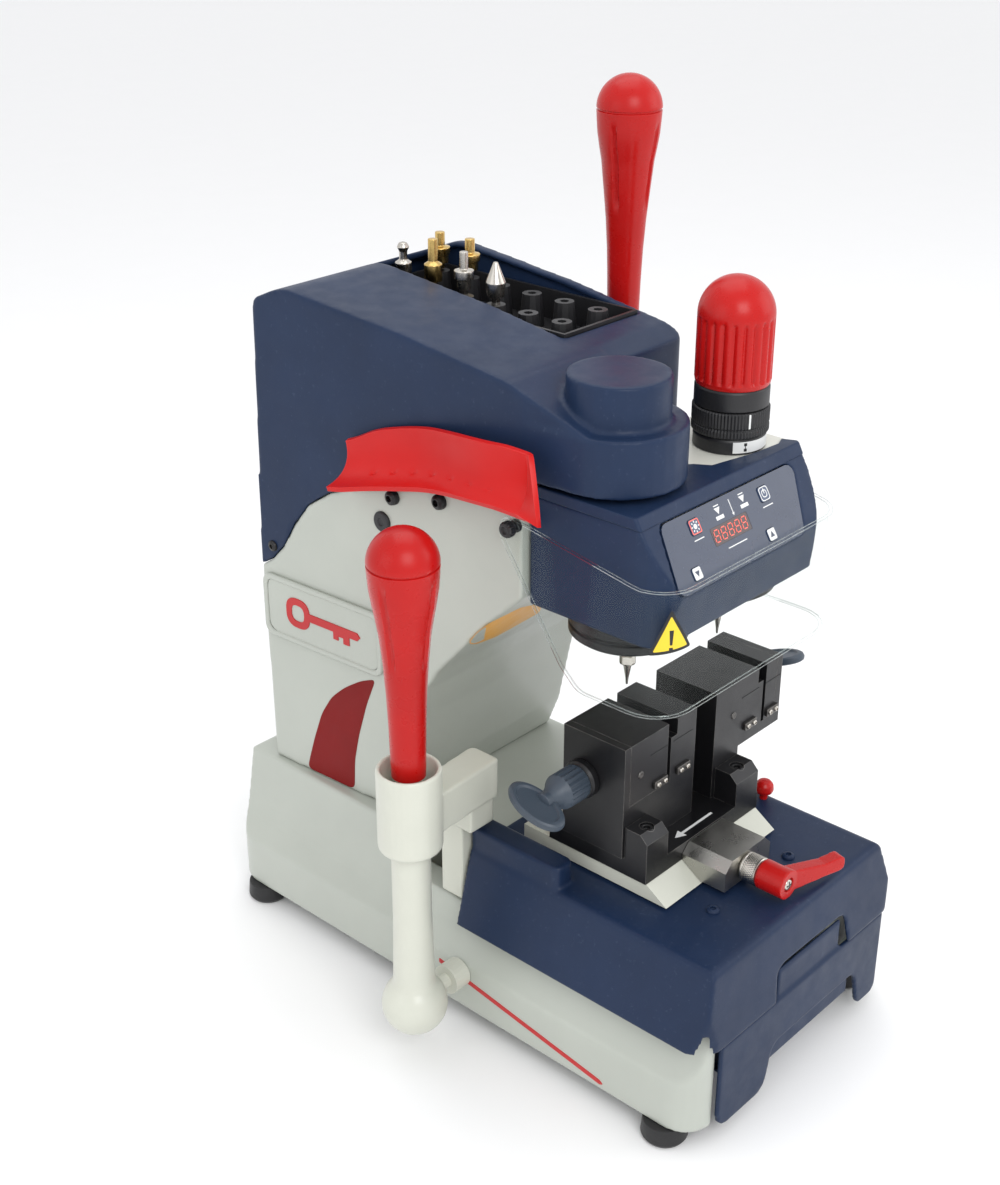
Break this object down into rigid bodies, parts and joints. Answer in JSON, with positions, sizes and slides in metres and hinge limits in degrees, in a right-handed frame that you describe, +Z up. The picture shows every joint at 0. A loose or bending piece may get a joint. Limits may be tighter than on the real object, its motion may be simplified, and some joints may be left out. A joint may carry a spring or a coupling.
{
  "type": "key duplicating machine",
  "caption": "Bench key duplicator: cast C-frame, lever-fed head with cutter and tracer, control panel, clear shield, lever-guided sliding vise carriage and chip drawer.",
  "frame": {"origin": "centre of the footprint box at the bench surface, under the rubber feet", "axes": "+X to the operator's right, +Y away from the operator, +Z up"},
  "size_m": [0.3574, 0.46, 0.63],
  "materials": {
    "frame_paint": "light grey-green cast housing, satin paint",
    "lever_paint": "cream satin paint on cast lever parts",
    "head_paint": "cream satin paint on the head casting",
    "hood_plastic": "navy moulded cover, fine satin texture",
    "cover_plastic": "navy moulded base cover, fine satin texture",
    "red_plastic": "bright red moulded plastic, soft gloss",
    "panel_film": "dark blue printed membrane panel",
    "key_film": "raised membrane key",
    "black_steel": "black anodised and blackened machined metal",
    "wing_plastic": "slate grey moulded knob",
    "black_plastic": "black moulded plastic",
    "bare_steel": "ground steel",
    "nickel_steel": "nickelled knurled steel",
    "gold_brass": "titanium-coloured brass",
    "foot_rubber": "black rubber",
    "belt_rubber": "black toothed belt rubber",
    "clear_acrylic": "clear bent acrylic sheet"
  },
  "bodies": {
    "frame": {"base_casting": "frame_paint", "front_left_foot": "foot_rubber", "front_right_foot": "foot_rubber", "rear_right_foot": "foot_rubber", "rear_left_foot": "foot_rubber", "saddle_rail": "bare_steel", "column_casting": "frame_paint", "belt_hood": "hood_plastic", "motor": "black_plastic", "drive_belt": "belt_rubber", "tool_tray": "black_plastic", "spare_tool_1": "bare_steel", "spare_tool_2": "gold_brass", "spare_tool_3": "nickel_steel", "spare_tool_4": "bare_steel", "key_shelf": "red_plastic", "name_plate": "frame_paint", "power_inlet": "black_plastic", "base_cover": "cover_plastic", "pivot_stud": "lever_paint", "left_shield_knob": "black_plastic", "right_shield_knob": "black_plastic"},
    "motor_rotor": {"motor_pulley": "bare_steel"},
    "belt_pulley": {"spindle_pulley": "bare_steel"},
    "power_rocker": {"power_switch": "black_plastic"},
    "drawer": {"chip_drawer": "cover_plastic"},
    "head": {"head_casting": "head_paint", "head_cover": "hood_plastic", "control_panel": "panel_film", "cutter_bearing_flange": "black_steel", "tracer_bearing_flange": "black_steel", "scale_collar": "black_steel"},
    "lamp_key": {"lamp_button": "key_film"},
    "power_key": {"power_button": "key_film"},
    "down_key": {"down_button": "key_film"},
    "up_key": {"up_button": "key_film"},
    "cutter": {"cutter_spindle": "bare_steel"},
    "tracer": {"tracer_spindle": "bare_steel"},
    "depth_index": {"index_ring": "black_steel"},
    "depth_adjuster": {"depth_knob": "red_plastic"},
    "shield": {"chip_shield": "clear_acrylic"},
    "saddle": {"carriage_saddle": "bare_steel"},
    "table": {"carriage_table": "bare_steel", "wedge_plate": "lever_paint", "carriage_arm": "lever_paint", "vise_plate": "black_steel", "left_vise_block": "black_steel", "right_vise_block": "black_steel", "clamp_block": "bare_steel", "clamp_sleeve": "nickel_steel"},
    "left_vise_jaw": {"left_jaw": "black_steel"},
    "right_vise_jaw": {"right_jaw": "black_steel"},
    "left_wing": {"left_wing_knob": "wing_plastic"},
    "right_wing": {"right_wing_knob": "wing_plastic"},
    "carriage_clamp": {"clamp_lever": "red_plastic"},
    "pivot": {"pivot_bush": "bare_steel"},
    "guide_lever": {"lever_column": "lever_paint", "lever_grip": "red_plastic"},
    "feed_lever": {"feed_hub": "bare_steel", "feed_grip": "red_plastic"}
  },
  "joints": [
    {"name": "motor_turn", "type": "hinge", "parent": "frame", "child": "motor_rotor", "pos_m": [-0.03245, 0.122, 0.436], "axis": [0, 0, 1], "continuous": true},
    {"name": "pulley_turn", "type": "hinge", "parent": "frame", "child": "belt_pulley", "pos_m": [-0.01845, -0.088, 0.436], "axis": [0, 0, 1], "continuous": true},
    {"name": "cutter_turn", "type": "hinge", "parent": "head", "child": "cutter", "pos_m": [-0.01845, -0.088, 0.436], "axis": [0, 0, 1], "continuous": true},
    {"name": "power_rock", "type": "hinge", "parent": "frame", "child": "power_rocker", "pos_m": [0.06155, 0.203, 0.176], "axis": [1, 0, 0], "range_deg": [-8, 8]},
    {"name": "drawer_pull", "type": "slide", "parent": "frame", "child": "drawer", "axis": [0, -1, 0], "range_m": [0, 0.12]},
    {"name": "feed_turn", "type": "hinge", "parent": "frame", "child": "feed_lever", "pos_m": [0.14455, 0.053, 0.345], "axis": [1, 0, 0], "range_deg": [0, 40]},
    {"name": "head_feed", "type": "slide", "parent": "frame", "child": "head", "axis": [0, 0, -1], "range_m": [0, 0.0165], "stiffness_N_per_m": 600, "springref_m": -0.1},
    {"name": "tracer_float", "type": "slide", "parent": "head", "child": "tracer", "axis": [0, 0, 1], "range_m": [0, 0.003], "stiffness_N_per_m": 1500, "springref_m": -0.004},
    {"name": "depth_index_turn", "type": "hinge", "parent": "head", "child": "depth_index", "pos_m": [0.08254, -0.089, 0.43], "axis": [0, 0, 1], "continuous": true},
    {"name": "depth_knob_turn", "type": "hinge", "parent": "head", "child": "depth_adjuster", "pos_m": [0.08254, -0.089, 0.48], "axis": [0, 0, 1], "continuous": true},
    {"name": "lamp_press", "type": "slide", "parent": "head", "child": "lamp_key", "axis": [0, 0.8542, -0.5199], "range_m": [0, 0.0005], "stiffness_N_per_m": 300, "springref_m": -0.0005},
    {"name": "power_press", "type": "slide", "parent": "head", "child": "power_key", "axis": [0, 0.8542, -0.5199], "range_m": [0, 0.0005], "stiffness_N_per_m": 300, "springref_m": -0.0005},
    {"name": "down_press", "type": "slide", "parent": "head", "child": "down_key", "axis": [0, 0.8542, -0.5199], "range_m": [0, 0.0005], "stiffness_N_per_m": 300, "springref_m": -0.0005},
    {"name": "up_press", "type": "slide", "parent": "head", "child": "up_key", "axis": [0, 0.8542, -0.5199], "range_m": [0, 0.0005], "stiffness_N_per_m": 300, "springref_m": -0.0005},
    {"name": "shield_lift", "type": "hinge", "parent": "frame", "child": "shield", "pos_m": [0.00954, -0.035, 0.385], "axis": [-1, 0, 0], "range_deg": [0, 50]},
    {"name": "saddle_travel", "type": "slide", "parent": "frame", "child": "saddle", "axis": [0, 1, 0], "range_m": [-0.002, 0.028]},
    {"name": "table_travel", "type": "slide", "parent": "saddle", "child": "table", "axis": [1, 0, 0], "range_m": [-0.012, 0.012]},
    {"name": "left_wing_turn", "type": "hinge", "parent": "table", "child": "left_wing", "pos_m": [-0.06245, -0.089, 0.216], "axis": [1, 0, 0], "range_deg": [0, 360]},
    {"name": "right_wing_turn", "type": "hinge", "parent": "table", "child": "right_wing", "pos_m": [0.11754, -0.089, 0.216], "axis": [-1, 0, 0], "range_deg": [0, 360]},
    {"name": "left_jaw_close", "type": "slide", "parent": "table", "child": "left_vise_jaw", "axis": [1, 0, 0], "range_m": [0, 0.003]},
    {"name": "right_jaw_close", "type": "slide", "parent": "table", "child": "right_vise_jaw", "axis": [-1, 0, 0], "range_m": [0, 0.003]},
    {"name": "clamp_turn", "type": "hinge", "parent": "table", "child": "carriage_clamp", "pos_m": [0.00254, -0.202, 0.154], "axis": [0, -1, 0], "range_deg": [0, 75]},
    {"name": "lever_fore_aft", "type": "hinge", "parent": "frame", "child": "pivot", "pos_m": [-0.15546, -0.018, 0.046], "axis": [1, 0, 0], "range_deg": [-11.5, 1.5]},
    {"name": "lever_sideways", "type": "hinge", "parent": "pivot", "child": "guide_lever", "pos_m": [-0.15546, -0.018, 0.046], "axis": [0, 1, 0], "range_deg": [-5, 5]}
  ],
  "couplings": [
    {"joint": "pulley_turn", "follows": "motor_turn", "ratio": 1},
    {"joint": "cutter_turn", "follows": "motor_turn", "ratio": 1},
    {"joint": "head_feed", "follows": "feed_turn", "m_per_rad": 0.022918},
    {"joint": "lever_fore_aft", "follows": "saddle_travel", "rad_per_m": -6.25},
    {"joint": "lever_sideways", "follows": "table_travel", "rad_per_m": 6.25},
    {"joint": "left_wing_turn", "follows": "left_jaw_close", "rad_per_m": 2094.4},
    {"joint": "right_wing_turn", "follows": "right_jaw_close", "rad_per_m": 2094.4}
  ]
}
